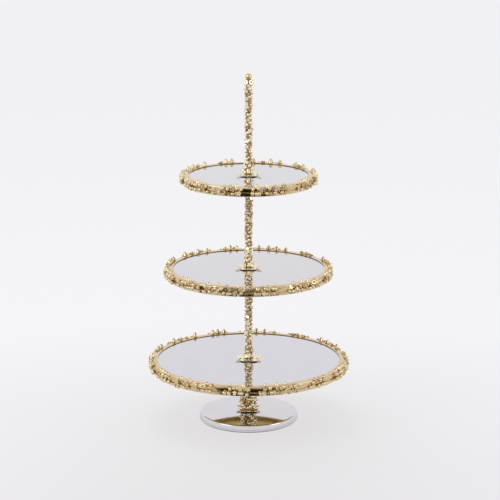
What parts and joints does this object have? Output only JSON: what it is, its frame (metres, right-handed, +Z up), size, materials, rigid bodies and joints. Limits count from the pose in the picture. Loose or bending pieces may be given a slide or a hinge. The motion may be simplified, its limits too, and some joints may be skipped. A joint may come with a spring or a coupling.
{
  "type": "tiered cake stand",
  "caption": "Tiered cake stand: round mirror trays with blossom-trimmed gold rims on a slim blossom stem that unscrews in sections, over a round chromed foot.",
  "frame": {"origin": "centre of the foot's underside, on the table surface", "axes": "+Z up along the stem; X and Y across the trays, -Y towards the front"},
  "size_m": [0.3117, 0.3126, 0.54],
  "materials": {
    "gold_band": "polished gold plate on spun sheet metal",
    "gold_blossoms": "gold plate on small cast blossoms and wire",
    "gold_rod": "polished gold plate on turned rod",
    "mirror_glass": "silvered float glass",
    "chrome_steel": "polished chrome plate on steel",
    "fibreboard": "bare hardboard, hidden",
    "felt": "pressed black felt",
    "zinc_steel": "bright zinc plate",
    "nylon": "natural nylon"
  },
  "bodies": {
    "stand_foot": {"base_pad": "felt", "base_disc": "chrome_steel", "base_screw": "zinc_steel", "base_spring_washer": "zinc_steel", "foot_collar": "gold_blossoms", "pedestal_core": "gold_rod", "pedestal_vine": "gold_blossoms", "pedestal_stud": "zinc_steel"},
    "bottom_tray": {"bottom_rim_band": "gold_band", "bottom_mirror": "mirror_glass", "bottom_backing_board": "fibreboard", "bottom_under_plate": "gold_band", "bottom_rim_garland": "gold_blossoms", "bottom_hub_bush": "zinc_steel", "bottom_thrust_washer": "nylon"},
    "middle_tray": {"middle_rim_band": "gold_band", "middle_mirror": "mirror_glass", "middle_backing_board": "fibreboard", "middle_under_plate": "gold_band", "middle_rim_garland": "gold_blossoms", "middle_hub_bush": "zinc_steel", "middle_thrust_washer": "nylon"},
    "top_tray": {"top_rim_band": "gold_band", "top_mirror": "mirror_glass", "top_backing_board": "fibreboard", "top_under_plate": "gold_band", "top_rim_garland": "gold_blossoms", "top_hub_bush": "zinc_steel", "top_thrust_washer": "nylon"},
    "lower_collar": {"lower_stem_pad_washer": "nylon", "lower_stem_collar": "gold_blossoms"},
    "lower_stem": {"lower_stem_rod": "gold_rod", "lower_stem_vine": "gold_blossoms", "lower_stem_stud": "zinc_steel"},
    "upper_collar": {"upper_stem_pad_washer": "nylon", "upper_stem_collar": "gold_blossoms"},
    "upper_stem": {"upper_stem_rod": "gold_rod", "upper_stem_vine": "gold_blossoms", "upper_stem_stud": "zinc_steel"},
    "top_collar": {"handle_pad_washer": "nylon", "handle_collar": "gold_blossoms"},
    "handle": {"handle_rod": "gold_rod", "handle_vine": "gold_blossoms", "finial": "gold_rod"}
  },
  "joints": [
    {"name": "bottom_tray_turn", "type": "hinge", "parent": "stand_foot", "child": "bottom_tray", "pos_m": [0, 0, 0.095], "axis": [0, 0, 1], "continuous": true},
    {"name": "lower_collar_lift", "type": "slide", "parent": "stand_foot", "child": "lower_collar", "axis": [0, 0, 1], "range_m": [0, 0.012]},
    {"name": "lower_stem_screw", "type": "hinge", "parent": "lower_collar", "child": "lower_stem", "pos_m": [0, 0, 0.095], "axis": [0, 0, 1], "range_deg": [0, 4320]},
    {"name": "middle_tray_turn", "type": "hinge", "parent": "lower_stem", "child": "middle_tray", "pos_m": [0, 0, 0.24], "axis": [0, 0, 1], "continuous": true},
    {"name": "upper_collar_lift", "type": "slide", "parent": "lower_stem", "child": "upper_collar", "axis": [0, 0, 1], "range_m": [0, 0.012]},
    {"name": "upper_stem_screw", "type": "hinge", "parent": "upper_collar", "child": "upper_stem", "pos_m": [0, 0, 0.24], "axis": [0, 0, 1], "range_deg": [0, 4320]},
    {"name": "top_tray_turn", "type": "hinge", "parent": "upper_stem", "child": "top_tray", "pos_m": [0, 0, 0.385], "axis": [0, 0, 1], "continuous": true},
    {"name": "top_collar_lift", "type": "slide", "parent": "upper_stem", "child": "top_collar", "axis": [0, 0, 1], "range_m": [0, 0.012]},
    {"name": "handle_screw", "type": "hinge", "parent": "top_collar", "child": "handle", "pos_m": [0, 0, 0.385], "axis": [0, 0, 1], "range_deg": [0, 4320]}
  ],
  "couplings": [
    {"joint": "lower_stem_screw", "follows": "lower_collar_lift", "rad_per_m": 6283.2},
    {"joint": "upper_stem_screw", "follows": "upper_collar_lift", "rad_per_m": 6283.2},
    {"joint": "handle_screw", "follows": "top_collar_lift", "rad_per_m": 6283.2}
  ]
}
